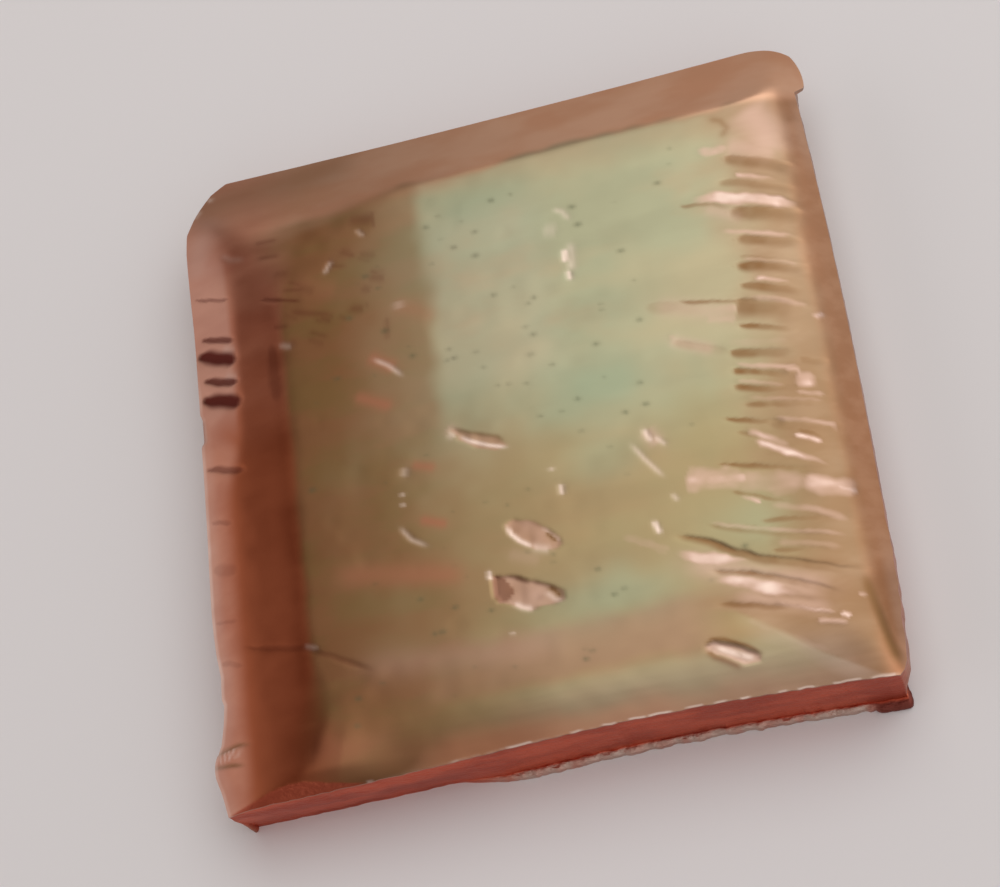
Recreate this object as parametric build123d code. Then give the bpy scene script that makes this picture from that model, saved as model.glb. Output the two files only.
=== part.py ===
from build123d import *
import os
from math import radians
from math import sin
from math import cos

# A short thick slab of raw copper, cropped from wider stock on all four sides.
# X runs from the left side to the right, Y from the near side to the far, Z up from the flat underside.
# All sizes are millimetres.

# Body of the slab
block_width = 73.0
block_length = 76.0
block_thickness = 11.0

# Plan outline: how each side leaves the plain rectangle
near_draw = 0.8
far_bulge = 0.5
far_draw = 0.7
right_draw = 0.6
right_belly = 0.1
left_pinch = 0.4
left_tip_out = 1.5
left_tip_length = 12.5
left_tip_foot = 6.0
near_right_clip_width = 1.3
near_right_clip_length = 1.3
near_right_draw = 0.5
far_left_clip_width = 5.2
far_left_clip_length = 5.7
far_left_corner_width = 3.4
far_left_corner_length = 0.8
far_right_round = 6.5
far_right_fullness = 0.70
far_right_lip_out = 0.5
far_right_lip_fullness = 0.77
far_right_lip_step = 0.6
far_right_lip_bottom = 6.6

# Rolled shoulders, where the metal was drawn down: each crease is its inset from the rim and its drop
left_shoulder = [(11.0, 0.0), (5.5, 1.1), (0.0, 3.2)]
far_shoulder = [(8.0, 0.0), (0.0, 3.0)]
right_shoulder = [(3.0, 0.0), (0.0, 2.8)]
near_shoulder = [(6.0, 0.0), (0.0, 1.6)]
left_crease_radius = 4.0
far_crease_radius = 6.0
right_crease_radius = 8.0
near_crease_radius = 25.0

# Sheared sides: a plumb cut land below the rim, and a torn zone that leans in under it
cut_land_height = 3.0
near_tear_lean = 0.8
right_tear_lean = 1.0

# Foot of the near side: a thin burr that flares out to a thicker tooth at the right corner
burr_thickness = 0.9
burr_length = 47.5
burr_out = 1.1
burr_onset = 2.5
burr_flare_length = 14.2
burr_root = 1.5
tooth_thickness = 1.6
tooth_width = 4.0
tooth_out = 0.5
tooth_inset = 1.2
tooth_length = 2.2

# Folds pushed up along the right shoulder, slanting more towards the near side
# Each has its place as a share of half the length, then its own length, width and depth
folds = [
    (0.51, 9.0, 1.1, 0.22),
    (0.38, 12.5, 1.8, 0.30),
    (0.28, 7.0, 1.1, 0.22),
    (0.20, 7.0, 1.2, 0.22),
    (0.13, 6.5, 0.9, 0.20),
    (0.02, 9.0, 2.2, 0.35),
    (-0.07, 13.5, 1.2, 0.25),
    (-0.13, 6.0, 0.9, 0.20),
    (-0.27, 11.5, 1.0, 0.22),
    (-0.40, 11.5, 0.9, 0.20),
    (-0.48, 19.0, 2.8, 0.35),
    (-0.60, 13.5, 0.9, 0.22),
    (-0.71, 20.0, 1.3, 0.35),
    (-0.78, 14.5, 1.1, 0.25),
]
fold_rim_gap = 3.0
fold_slant_far = 20.0
fold_slant_near = 25.0
fold_follow = 0.5

# Cross grooves on the outer facet of the left shoulder: place, width and depth
left_grooves = [
    (0.42, 1.6, 0.35),
    (0.33, 1.1, 0.30),
    (0.27, 1.6, 0.35),
    (0.05, 0.9, 0.25),
    (-0.26, 1.0, 0.25),
]
left_groove_rim_gap = 0.6
left_groove_fall = 2.0

# Pits where flakes have left the face: place as shares of half the width and length, then
# the direction in degrees, length, width and depth
pits = [
    (-0.10, -0.08, -30.0, 6.0, 1.1, 0.25),
    (0.02, -0.41, -33.0, 7.5, 2.4, 0.45),
    (-0.02, -0.56, -30.0, 9.0, 3.0, 0.50),
    (0.52, -0.85, -30.0, 6.0, 2.2, 0.50),
    (0.23, 0.41, -90.0, 5.5, 0.9, 0.25),
]

# How far a cutter runs past what it cuts
past = 6.0

half_width = block_width / 2
half_length = block_length / 2


def right_points():
    """The right side from its near end, through its belly, to its far end."""
    near_end = (half_width - near_right_draw, -half_length + near_right_clip_length)
    far_end = (half_width - right_draw, half_length - far_right_round - far_right_lip_step)
    return [near_end, (half_width + right_belly, 0), far_end]


def near_points():
    """The near side from its left end to its right end."""
    left_end = (-half_width, -half_length)
    right_end = (half_width - near_right_clip_width, -half_length)
    return [left_end, (0, -half_length + near_draw), right_end]


def slab_outline(with_lip):
    """The plan of the slab, going round from the near left corner, with or without the far right lip."""
    near_left, near_middle, near_right = near_points()
    right_near, right_middle, right_far = right_points()
    far_right = (half_width - far_right_round, half_length + far_bulge)
    far_middle = (0, half_length + far_bulge - far_draw)
    far_left = (-half_width + far_left_clip_width, half_length + far_bulge)
    far_left_corner = (-half_width + far_left_corner_width, half_length - far_left_corner_length)
    left_far = (-half_width, half_length - far_left_clip_length)
    pinch = (-half_width + left_pinch, -half_length + left_tip_length)
    tip = (-half_width - left_tip_out, -half_length + left_tip_foot)
    if with_lip:
        lip_tip = (half_width + far_right_lip_out, half_length - far_right_round)
        inset = (1 - far_right_lip_fullness) * far_right_round
        lip_round = (half_width - inset, half_length - inset)
        corner = [Line(right_far, lip_tip), ThreePointArc(lip_tip, lip_round, far_right)]
    else:
        inset = (1 - far_right_fullness) * far_right_round
        corner_round = (half_width - inset, half_length - inset)
        corner = [ThreePointArc(right_far, corner_round, far_right)]
    return make_face([
        ThreePointArc(near_left, near_middle, near_right),
        Line(near_right, right_near),
        ThreePointArc(right_near, right_middle, right_far),
        *corner,
        ThreePointArc(far_right, far_middle, far_left),
        Line(far_left, far_left_corner),
        Line(far_left_corner, left_far),
        Line(left_far, pinch),
        Line(pinch, tip),
        Line(tip, near_left),
    ])


def slab_body():
    """The slab before its shoulders: the far right corner stands out as a thin lip near its top."""
    body = extrude(slab_outline(with_lip=False), far_right_lip_bottom)
    upper = extrude(slab_outline(with_lip=True), block_thickness - far_right_lip_bottom)
    return body + Pos(0, 0, far_right_lip_bottom) * upper


def shoulder_cutter(creases, crease_radius, side_length):
    """What is rolled off one side: the side runs along X with its rim at Y 0 and the slab at +Y."""
    inner_inset, inner_drop = creases[0]
    before_rim_inset, before_rim_drop = creases[-2]
    rim_inset, rim_drop = creases[-1]
    slope = (rim_drop - before_rim_drop) / (before_rim_inset - rim_inset)
    corners = [(inner_inset + past, 0)]
    corners += [(inset, -drop) for inset, drop in creases[:-1]]
    corners += [(-past, -rim_drop - slope * past)]
    rolled_line = FilletPolyline(*corners, radius=crease_radius)
    cover = Polyline(corners[-1], (-past, past), (inner_inset + past, past), corners[0])
    section = Plane.YZ * make_face([rolled_line, cover])
    return extrude(section, side_length / 2 + past, both=True)


def rolled_shoulders():
    """The four cutters, set against their sides at the height of the top face."""
    near = shoulder_cutter(near_shoulder, near_crease_radius, block_width)
    right = shoulder_cutter(right_shoulder, right_crease_radius, block_length)
    far = shoulder_cutter(far_shoulder, far_crease_radius, block_width)
    left = shoulder_cutter(left_shoulder, left_crease_radius, block_length)
    return [
        Pos(0, -half_length, block_thickness) * near,
        Pos(half_width, 0, block_thickness) * Rot(0, 0, 90) * right,
        Pos(0, half_length, block_thickness) * Rot(0, 0, 180) * far,
        Pos(-half_width, 0, block_thickness) * Rot(0, 0, -90) * left,
    ]


def outer_strip(side_points, along, inward, lean, height):
    """A flat strip outside one side, whose inner edge lies a little inside it."""
    start, middle, end = [Vector(*point) + inward * lean for point in side_points]
    before, after = start - along * past, end + along * past
    outer_after, outer_before = after - inward * past, before - inward * past
    strip = make_face([
        ThreePointArc(start, middle, end),
        Polyline(end, after, outer_after, outer_before, before, start),
    ])
    return Pos(0, 0, height) * strip


def torn_zone(side_points, along, inward, lean, rim_drop):
    """The wedge that broke away under the cut land of one sheared side."""
    upper = block_thickness - rim_drop - cut_land_height
    foot_strip = outer_strip(side_points, along, inward, lean, 0)
    upper_strip = outer_strip(side_points, along, inward, 0, upper)
    return loft([foot_strip, upper_strip], ruled=True)


def torn_zones():
    """The torn zones of the near and the right side."""
    x_axis, y_axis = Vector(1, 0, 0), Vector(0, 1, 0)
    near = torn_zone(near_points(), x_axis, y_axis, near_tear_lean, near_shoulder[-1][1])
    right = torn_zone(right_points(), y_axis, -x_axis, right_tear_lean, right_shoulder[-1][1])
    return [near, right]


def foot_tooth(start_x, crest_y):
    """The thicker tooth at the right end of the burr, round at its tip."""
    end_x = half_width - tooth_inset
    round_start = (end_x - 2 * tooth_out, crest_y)
    round_middle = (end_x - tooth_out / 2, crest_y + tooth_out / 2)
    round_end = (end_x, crest_y + 2 * tooth_out)
    back_right = (end_x - tooth_out, crest_y + tooth_length)
    back_left = (start_x, crest_y + tooth_length)
    plan = make_face([
        Line((start_x, crest_y), round_start),
        ThreePointArc(round_start, round_middle, round_end),
        Polyline(round_end, back_right, back_left, (start_x, crest_y)),
    ])
    return extrude(plan, tooth_thickness)


def foot_burr():
    """The thin burr at the foot of the near side, which flares out to its tooth at the right corner."""
    foot_y = -half_length + near_draw + near_tear_lean
    edge_y = foot_y - burr_out
    root_y = foot_y + burr_root
    crest_y = -half_length - tooth_out
    start_x = half_width - burr_length
    onset_x = start_x + burr_onset
    flare_x = half_width - burr_flare_length
    tooth_x = half_width - tooth_inset - tooth_width
    corners = [(start_x, root_y), (start_x, foot_y), (onset_x, edge_y), (flare_x, edge_y)]
    corners += [(tooth_x, crest_y), (tooth_x, root_y)]
    plan = make_face(Polyline(*corners, corners[0]))
    return extrude(plan, burr_thickness) + foot_tooth(tooth_x, crest_y)


def drop_at(creases, inset):
    """How far below the top face a shoulder lies, this far in from its rim."""
    drop = creases[0][1]
    for inner, outer in zip(creases, creases[1:]):
        if outer[0] <= inset <= inner[0]:
            share = (inner[0] - inset) / (inner[0] - outer[0])
            drop = inner[1] + share * (outer[1] - inner[1])
    return drop


def groove_cutter(start, end, width, depth):
    """A ring standing on edge that dips into the surface, so that the groove runs out at its ends."""
    run = end - start
    sideways = run.cross(Vector(0, 0, 1)).normalized()
    upwards = sideways.cross(run).normalized()
    section_radius = (width * width / 4 + depth * depth) / (2 * depth)
    outer_radius = (run.length * run.length / 4 + depth * depth) / (2 * depth)
    middle = start + run * 0.5 + upwards * (outer_radius - depth)
    return Plane(middle, x_dir=run, z_dir=sideways) * Torus(outer_radius - section_radius, section_radius)


def fold_cutters():
    """The folds of the right shoulder, from their rim ends inwards over the face."""
    cutters = []
    for place, length, width, depth in folds:
        nearness = (1 - place) / 2
        slant = radians(fold_slant_far + (fold_slant_near - fold_slant_far) * nearness)
        rim_drop = fold_follow * drop_at(right_shoulder, fold_rim_gap)
        rim_end = Vector(half_width - fold_rim_gap, place * half_length, block_thickness - rim_drop)
        inner_x = rim_end.X - length * cos(slant)
        inner_y = rim_end.Y + length * sin(slant)
        cutters.append(groove_cutter(Vector(inner_x, inner_y, block_thickness), rim_end, width, depth))
    return cutters


def left_groove_cutters():
    """The cross grooves of the left shoulder, from near the rim up to the middle crease."""
    crease_inset = left_shoulder[1][0]
    cutters = []
    for place, width, depth in left_grooves:
        rim_z = block_thickness - drop_at(left_shoulder, left_groove_rim_gap)
        crease_z = block_thickness - drop_at(left_shoulder, crease_inset)
        rim_end = Vector(-half_width + left_groove_rim_gap, place * half_length, rim_z)
        crease_end = Vector(-half_width + crease_inset, rim_end.Y - left_groove_fall, crease_z)
        cutters.append(groove_cutter(rim_end, crease_end, width, depth))
    return cutters


def pit_cutters():
    """The flake pits of the flat face."""
    cutters = []
    for across, along, direction, length, width, depth in pits:
        middle = Vector(across * half_width, along * half_length, block_thickness)
        half_run = Vector(cos(radians(direction)), sin(radians(direction)), 0) * (length / 2)
        cutters.append(groove_cutter(middle - half_run, middle + half_run, width, depth))
    return cutters


def copper_block():
    """The whole slab as one solid."""
    slab = slab_body()
    for cutter in rolled_shoulders() + torn_zones():
        slab -= cutter
    slab += foot_burr()
    for cutter in fold_cutters() + left_groove_cutters() + pit_cutters():
        slab -= cutter
    # The left tip stands out further than the right lip, so the slab is moved to centre its box
    box_shift = (left_tip_out - far_right_lip_out) / 2
    return Pos(box_shift, 0, 0) * slab


os.makedirs("parts", exist_ok=True)
block = copper_block()
export_step(block, "parts/copper_block.step")
print("size", block.bounding_box().size, "volume", round(block.volume), "solids", len(block.solids()))
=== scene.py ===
# %% [markdown]
# # A short slab of raw copper
#
# The object is one piece of solid copper, about 73 mm wide, 76 mm long and 11 mm thick. It was cropped
# from wider stock, and each cut drew its edge down, so the flat face ends in rolled shoulders on all four
# sides. The face carries a thin oxide film, greenish gold to khaki, and bare pink metal shows in the
# folds and pits.
#
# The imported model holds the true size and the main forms. This lesson builds the skin that is seen: one
# closed mesh on the same sizes, with the finer relief and the finish. Sizes below are in millimetres.

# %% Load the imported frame
import math
import bpy
import numpy as np
from mathutils import Matrix
from mathutils import Vector


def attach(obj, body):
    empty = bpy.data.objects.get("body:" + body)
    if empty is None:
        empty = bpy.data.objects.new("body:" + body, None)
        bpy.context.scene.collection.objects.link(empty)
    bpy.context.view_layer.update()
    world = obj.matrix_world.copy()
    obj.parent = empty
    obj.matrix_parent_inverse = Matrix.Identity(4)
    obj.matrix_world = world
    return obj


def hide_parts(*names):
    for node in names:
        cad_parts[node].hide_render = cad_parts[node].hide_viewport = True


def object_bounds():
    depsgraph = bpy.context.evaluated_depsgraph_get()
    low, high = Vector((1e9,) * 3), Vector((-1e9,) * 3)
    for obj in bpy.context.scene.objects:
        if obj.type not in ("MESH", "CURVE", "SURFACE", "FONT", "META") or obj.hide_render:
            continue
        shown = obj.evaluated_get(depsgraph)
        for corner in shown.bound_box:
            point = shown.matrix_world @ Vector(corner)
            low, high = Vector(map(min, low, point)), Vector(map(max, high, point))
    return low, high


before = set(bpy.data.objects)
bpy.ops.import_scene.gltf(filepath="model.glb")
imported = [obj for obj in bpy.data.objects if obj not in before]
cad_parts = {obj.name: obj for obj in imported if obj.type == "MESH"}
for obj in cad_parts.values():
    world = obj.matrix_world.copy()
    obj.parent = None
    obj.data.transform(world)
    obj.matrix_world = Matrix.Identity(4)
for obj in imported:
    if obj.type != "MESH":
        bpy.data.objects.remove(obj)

MM = 0.001
cad_low, cad_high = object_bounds()
# the lip stands out past the right side, and the far side stands out near its left end
lip_out = 0.5
far_out = 0.5
# the body's own middle lies this far to the right of the frame's
body_shift = 0.5
half_width = cad_high.x / MM - lip_out - body_shift
half_length = cad_high.y / MM - far_out
top = cad_high.z / MM
print("body of the slab", round(2 * half_width, 2), round(2 * half_length, 2), round(top, 2))

# %% [markdown]
# ## The camera
#
# A camera is placed by three things: where it stands, what it looks at and which way is up in its
# picture. Here it stands in front of the block and to its right, looks steeply down on it, and is rolled
# a little. The matrix is built from those three, because a tracking constraint can't hold the roll. A
# long lens keeps the perspective mild.

# %% Camera
camera_place = Vector((49.4 + body_shift, -113.5, 236.4)) * MM
camera_aim = Vector((-1.75 + body_shift, -4.2, 11.0)) * MM
picture_up = Vector((0.2195, 0.8965, 0.3849))
focal_length = 86.4
sensor_width = 36.0

forward = (camera_aim - camera_place).normalized()
right = forward.cross(picture_up).normalized()
up = right.cross(forward)
camera_data = bpy.data.cameras.new("camera")
camera_data.lens = focal_length
camera_data.sensor_width = sensor_width
camera_data.clip_start = 0.01
camera = bpy.data.objects.new("camera", camera_data)
turn = Matrix((right, up, -forward)).transposed().to_4x4()
camera.matrix_world = Matrix.Translation(camera_place) @ turn
bpy.context.scene.collection.objects.link(camera)
bpy.context.scene.camera = camera
print("camera stands", round((camera_aim - camera_place).length / MM), "mm from the block")

# %% [markdown]
# ## Colours and nodes
#
# Colours are written as sRGB hex values, as a paint program shows them, but Blender's nodes work in
# linear light. One function turns the first into the second, and one adds a node with its settings and
# its links, so that each material below reads as a short list.

# %% Helpers for materials
def linear(hex_colour):
    """An sRGB hex value such as "#c0ffee" as linear red, green, blue and alpha."""
    channels = [int(hex_colour[i:i + 2], 16) / 255 for i in (1, 3, 5)]
    return [c / 12.92 if c <= 0.04045 else ((c + 0.055) / 1.055) ** 2.4 for c in channels] + [1.0]


def new_material(name):
    """An empty node material with its tree."""
    material = bpy.data.materials.new(name)
    material.use_nodes = True
    material.node_tree.nodes.clear()
    return material, material.node_tree


def add(tree, kind, settings=None, inputs=None):
    """Adds a node: settings are its own fields, inputs are values or sockets to link, by name or number."""
    node = tree.nodes.new(kind)
    for field, value in (settings or {}).items():
        setattr(node, field, value)
    for key, value in (inputs or {}).items():
        if isinstance(value, bpy.types.NodeSocket):
            tree.links.new(value, node.inputs[key])
        else:
            node.inputs[key].default_value = value
    return node


# %% [markdown]
# ## The studio
#
# Metal shows what stands round it, so each facet of the block takes its tone from one part of the studio.
# A large soft lamp hangs over the block. The face mirrors it near its left edge, and so dims towards the
# left. The dome of the world fills the rest: pale to the right, a middle grey behind, dim and warm in one
# strip high on the left, and pale again low on the left. The floor is plain pale grey.

# %% Floor
floor_size = 1.6
bpy.ops.mesh.primitive_plane_add(size=floor_size, location=(0, 0, 0))
floor = bpy.context.object
floor.name = "floor"
floor_paint, tree = new_material("matt_floor")
surface = add(tree, "ShaderNodeBsdfPrincipled", inputs={"Base Color": linear("#e6e5e7"), "Roughness": 0.8})
add(tree, "ShaderNodeOutputMaterial", inputs={"Surface": surface.outputs[0]})
floor.data.materials.append(floor_paint)
print("floor", floor_size, "m wide")

# %% Lamp
lamp_left, lamp_right = -195.0, 900.0
lamp_near, lamp_far = -75.0, 860.0
lamp_height = 711.0
lamp_glow = 0.93

lamp_width, lamp_depth = lamp_right - lamp_left, lamp_far - lamp_near
lamp_data = bpy.data.lights.new("window_lamp", "AREA")
lamp_data.shape = "RECTANGLE"
lamp_data.size = lamp_width * MM
lamp_data.size_y = lamp_depth * MM
lamp_data.energy = lamp_glow * math.pi * lamp_width * lamp_depth * MM * MM
lamp_data.color = linear("#fffdf8")[:3]
lamp = bpy.data.objects.new("window_lamp", lamp_data)
lamp.location = Vector(((lamp_left + lamp_right) / 2, (lamp_near + lamp_far) / 2, lamp_height)) * MM
bpy.context.scene.collection.objects.link(lamp)
print("lamp", round(lamp_width), "by", round(lamp_depth), "mm, hung at", round(lamp_height), "mm")

# %% World
# colours along X: 0 is level on the left, 0.5 is overhead and 1 is level on the right
dome_stops = [(0.14, "#dccfcd"), (0.205, "#64402e"), (0.30, "#64402e"), (0.38, "#b3aaa5"), (0.50, "#d8d5d4")]
grey_behind = "#b7afaa"
behind_starts, behind_is_full = 0.50, 0.75

world = bpy.data.worlds.new("studio")
bpy.context.scene.world = world
world.use_nodes = True
tree = world.node_tree
tree.nodes.clear()
place = add(tree, "ShaderNodeTexCoord")
split = add(tree, "ShaderNodeSeparateXYZ", inputs={0: place.outputs["Generated"]})
across = add(tree, "ShaderNodeMapRange", inputs={0: split.outputs["X"], 1: -1.0, 2: 1.0})
behind = add(tree, "ShaderNodeMapRange", inputs={0: split.outputs["Y"], 1: behind_starts, 2: behind_is_full})
dome = add(tree, "ShaderNodeValToRGB", inputs={0: across.outputs[0]})
dome.color_ramp.interpolation = "EASE"
while len(dome.color_ramp.elements) < len(dome_stops):
    dome.color_ramp.elements.new(0.5)
for element, (stop, shade) in zip(dome.color_ramp.elements, dome_stops):
    element.position = stop
    element.color = linear(shade)
whole = add(tree, "ShaderNodeMix", {"data_type": "RGBA"},
            {0: behind.outputs[0], 6: dome.outputs[0], 7: linear(grey_behind)})
light = add(tree, "ShaderNodeBackground", inputs={0: whole.outputs[2], 1: 1.0})
add(tree, "ShaderNodeOutputWorld", inputs={0: light.outputs[0]})
bpy.context.scene.view_settings.view_transform = "Standard"
print("dome with", len(dome.color_ramp.elements), "stops")

# %% [markdown]
# ## Smooth steps and smooth noise
#
# Rolled metal is never quite flat or quite straight. A small value noise gives that: random heights on a
# lattice, joined by a smooth curve. It is seeded, so each run gives the same slab.

# %% Small shape functions
def step(value, start, end):
    """0 before start, 1 after end, and a smooth rise between; start may be the larger."""
    t = np.clip((value - start) / (end - start), 0, 1)
    return t * t * (3 - 2 * t)


def bell(value, width):
    """A smooth hump of height 1 at 0."""
    return np.exp(-(value / width) ** 2)


# the noise repeats after so many cells, and the middle of the plan lies so many cells along it
lattice_size = 128
lattice_start = 500


def ripple(x, y, cell, seed):
    """Smooth noise from -1 to 1 over plan points, with bumps about one cell wide."""
    lattice = np.random.default_rng(seed).uniform(-1, 1, (lattice_size, lattice_size))
    gx, gy = np.asarray(x) / cell + lattice_start, np.asarray(y) / cell + lattice_start
    ix, iy = np.floor(gx).astype(int), np.floor(gy).astype(int)
    tx, ty = step(gx - ix, 0, 1), step(gy - iy, 0, 1)
    left, right = ix % lattice_size, (ix + 1) % lattice_size
    lower, upper = iy % lattice_size, (iy + 1) % lattice_size
    low = lattice[lower, left] * (1 - tx) + lattice[lower, right] * tx
    high = lattice[upper, left] * (1 - tx) + lattice[upper, right] * tx
    return low * (1 - ty) + high * ty


# %% [markdown]
# ## The outline in plan
#
# Seen from above the slab is nearly a rectangle. The near side is drawn in at its middle, the left side
# has a small tip near its foot and a shallow notch, the far left corner is clipped, and the far right
# corner is round, with a thin lip that stands out. Each side is a short list of points or an arc through
# three of them, and numpy fills in between. The two cut edges also waver by a few hundredths of a
# millimetre.

# %% Circles and arcs
def circle_through(first, middle, last):
    """The centre and the radius of the circle through three points."""
    (ax, ay), (bx, by), (cx, cy) = first, middle, last
    four_areas = 2 * (ax * (by - cy) + bx * (cy - ay) + cx * (ay - by))
    a_square, b_square, c_square = ax * ax + ay * ay, bx * bx + by * by, cx * cx + cy * cy
    centre_x = (a_square * (by - cy) + b_square * (cy - ay) + c_square * (ay - by)) / four_areas
    centre_y = (a_square * (cx - bx) + b_square * (ax - cx) + c_square * (bx - ax)) / four_areas
    return centre_x, centre_y, math.hypot(ax - centre_x, ay - centre_y)


def arc_through(first, middle, last, count):
    """Points along the circle through three points."""
    centre_x, centre_y, radius = circle_through(first, middle, last)
    start = math.atan2(first[1] - centre_y, first[0] - centre_x)
    end = math.atan2(last[1] - centre_y, last[0] - centre_x)
    sweep = (end - start + math.pi) % (2 * math.pi) - math.pi
    angles = start + sweep * np.linspace(0, 1, count)
    return np.stack([centre_x + radius * np.cos(angles), centre_y + radius * np.sin(angles)], 1)


# %% Near and left sides of the plan
near_left = (-half_width, -half_length)
near_right = (half_width - 1.7, -half_length + 0.35)
near_draw = 1.1
near_draw_middle = 10.0
near_draw_reach = 24.5
near_x = np.linspace(near_left[0], near_right[0], 280)
near_y = -half_length + near_draw * bell(near_x - near_draw_middle, near_draw_reach)
near_y += 0.05 * ripple(near_x, 0 * near_x, 0.8, 82) * step(near_x, near_left[0], near_left[0] + 4)
near_side = np.stack([near_x, near_y], 1)

far_left = (-half_width + 3.4, half_length - 0.8)
# from the tip up the pinched stretch and past the notch to the clipped corner
left_side = np.array([
    near_left, (-37.2, -35.2), (-37.9, -33.2), (-38.0, -32.0), (-37.5, -30.9), (-36.8, -30.0),
    (-36.3, -28.0), (-36.0, -25.8), (-36.3, -25.0), (-36.2, -22.5), (-36.6, -20.0), (-36.8, -17.5),
    (-36.9, -14.5), (-36.8, -9.0), (-36.6, 0.0), (-36.6, 5.2), (-36.2, 5.6), (-36.2, 8.4), (-36.5, 9.2),
    (-36.5, 20.0), (-36.6, 30.0), (-36.4, 32.4), (-35.2, 34.4), far_left,
])
print("near side", len(near_side), "points, left side", len(left_side))

# %% Right and far sides of the plan
right_start = (half_width - 0.75, -half_length + 1.9)
right_end = (half_width - 0.6, half_length - 7.1)
lip_tip = (half_width + lip_out, half_length - 6.2)
lip_shoulder = (half_width - 0.4, half_length - 1.9)
round_end = (half_width - 6.0, half_length - 0.05)
lip_front = arc_through(lip_tip, (half_width + 0.25, half_length - 3.4), lip_shoulder, 14)
lip_back = arc_through(lip_shoulder, (half_width - 2.2, half_length - 0.8), round_end, 16)
right_arc = arc_through(right_start, (half_width + 0.1, 0), right_end, 240)
right_y = right_arc[:, 1]
right_arc[:, 0] += 0.07 * ripple(0 * right_y, right_y, 0.9, 81) * step(right_y, -16.0, -23.0)
right_arc[:, 0] += 0.2 * bell(right_y + 27, 6)
right_side = np.concatenate([[near_right, (half_width - 1.2, -half_length + 0.9)], right_arc, lip_front])
far_arc = arc_through(round_end, (0, half_length - 0.2), (-half_width + 5.2, half_length + far_out), 40)
far_side = np.concatenate([lip_front[-1:], lip_back[1:-1], far_arc, [far_left]])[::-1]
print("plan corners", near_left, near_right, tuple(right_side[-1].round(1)), far_left)

# %% [markdown]
# ## The grid of the skin
#
# The top is a grid of quads whose lines follow the outline. A straight grid is laid over the plain
# rectangle, and each side's departure from it is added with a weight that fades within a few millimetres,
# so the inner lines stay straight. The lines lie closer where the relief is fine.

# %% Grid lines
def graded_lines(start, end, spacing_at, samples=4000):
    """Line places from start to end, spaced as spacing_at says for each place."""
    places = np.linspace(start, end, samples)
    density = 1 / spacing_at(places)
    count_along = np.concatenate([[0], np.cumsum((density[1:] + density[:-1]) / 2 * np.diff(places))])
    count = int(round(count_along[-1]))
    return np.interp(np.linspace(0, count_along[-1], count + 1), count_along, places)


def spacing_over_width(x):
    """Fine at the rims, and finer over the folds than over the plain face."""
    rims = np.minimum(x + half_width, half_width - x)
    return 0.15 + 0.20 * step(rims, 0.5, 2.5) - 0.07 * step(x, 14.0, 17.0)


def spacing_over_length(y):
    """Fine at the rims and wherever strokes cross the face."""
    rims = np.minimum(y + half_length, half_length - y)
    return 0.13 + 0.16 * step(rims, 0.5, 2.5) - 0.05 * step(y, -34.5, -33.0) * step(y, 28.0, 26.0)


columns = graded_lines(-half_width, half_width, spacing_over_width)
rows = graded_lines(-half_length, half_length, spacing_over_length)
print("grid", len(columns), "by", len(rows))

# %% Plan of the grid
def along_side(side, places, axis):
    """Points of a side at even shares of its own reach, where the places are shares of the rectangle's."""
    share = (places - places[0]) / (places[-1] - places[0])
    wanted = side[0, axis] + (side[-1, axis] - side[0, axis]) * share
    other = np.interp(wanted, side[:, axis], side[:, 1 - axis])
    return np.stack([wanted, other] if axis == 0 else [other, wanted], 1)


fade_reach = 7.0
grid_x, grid_y = np.meshgrid(columns, rows)
plain = np.stack([grid_x, grid_y], 2)
to_near = step(rows, -half_length + fade_reach, -half_length)[:, None, None]
to_far = step(rows, half_length - fade_reach, half_length)[:, None, None]
to_left = step(columns, -half_width + fade_reach, -half_width)[None, :, None]
to_right = step(columns, half_width - fade_reach, half_width)[None, :, None]
near_off = (along_side(near_side, columns, 0) - plain[0])[None, :, :]
far_off = (along_side(far_side, columns, 0) - plain[-1])[None, :, :]
left_off = (along_side(left_side, rows, 1) - plain[:, 0])[:, None, :]
right_off = (along_side(right_side, rows, 1) - plain[:, -1])[:, None, :]
plan = plain + to_near * near_off + to_far * far_off + to_left * left_off + to_right * right_off
plan -= to_near * to_left * near_off[:, :1] + to_near * to_right * near_off[:, -1:]
plan -= to_far * to_left * far_off[:, :1] + to_far * to_right * far_off[:, -1:]
x, y = plan[:, :, 0], plan[:, :, 1]
print("plan", round(x.min(), 2), "to", round(x.max(), 2), "by", round(y.min(), 2), "to", round(y.max(), 2))

# %% [markdown]
# ## Rolled shoulders
#
# Where the shear pressed down, the edge was drawn over. The left shoulder has two facets, the far one is
# a single slope with a crisp crease, and the right and near ones are soft rolls. Each is a slope that
# starts at an inset from the rim; softplus, a straight line with a rounded knee, gives each crease its
# own softness. Where two shoulders meet, both drops are raised to a power and the root of their sum is
# taken, and a lower power rounds the corner more.

# %% Insets and corners
left_inset = x + half_width
far_inset = half_length - y
right_inset = half_width - x
near_inset = y + half_length
far_left_corner = step(y, 17.0, 29.0) * step(x, -8.0, -24.0)
near_left_corner = step(y, -24.0, -34.0) * step(x, -12.0, -26.0)
near_right_corner = step(y, -26.0, -33.0) * step(x, 25.0, 32.0)
far_right_corner = step(y, 25.0, 31.0) * step(x, 24.0, 31.0)
near_left_roll = step(x, -16.0, -26.0)
lower = step(y, 6.0, -4.0)

# %% Heights of the shoulders
def slope_from(inset, start, rise, softness):
    """The drop of a slope that starts this far in from the rim, with a knee as soft as given."""
    return rise * softness * np.logaddexp(0, (start - inset) / softness)


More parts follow.
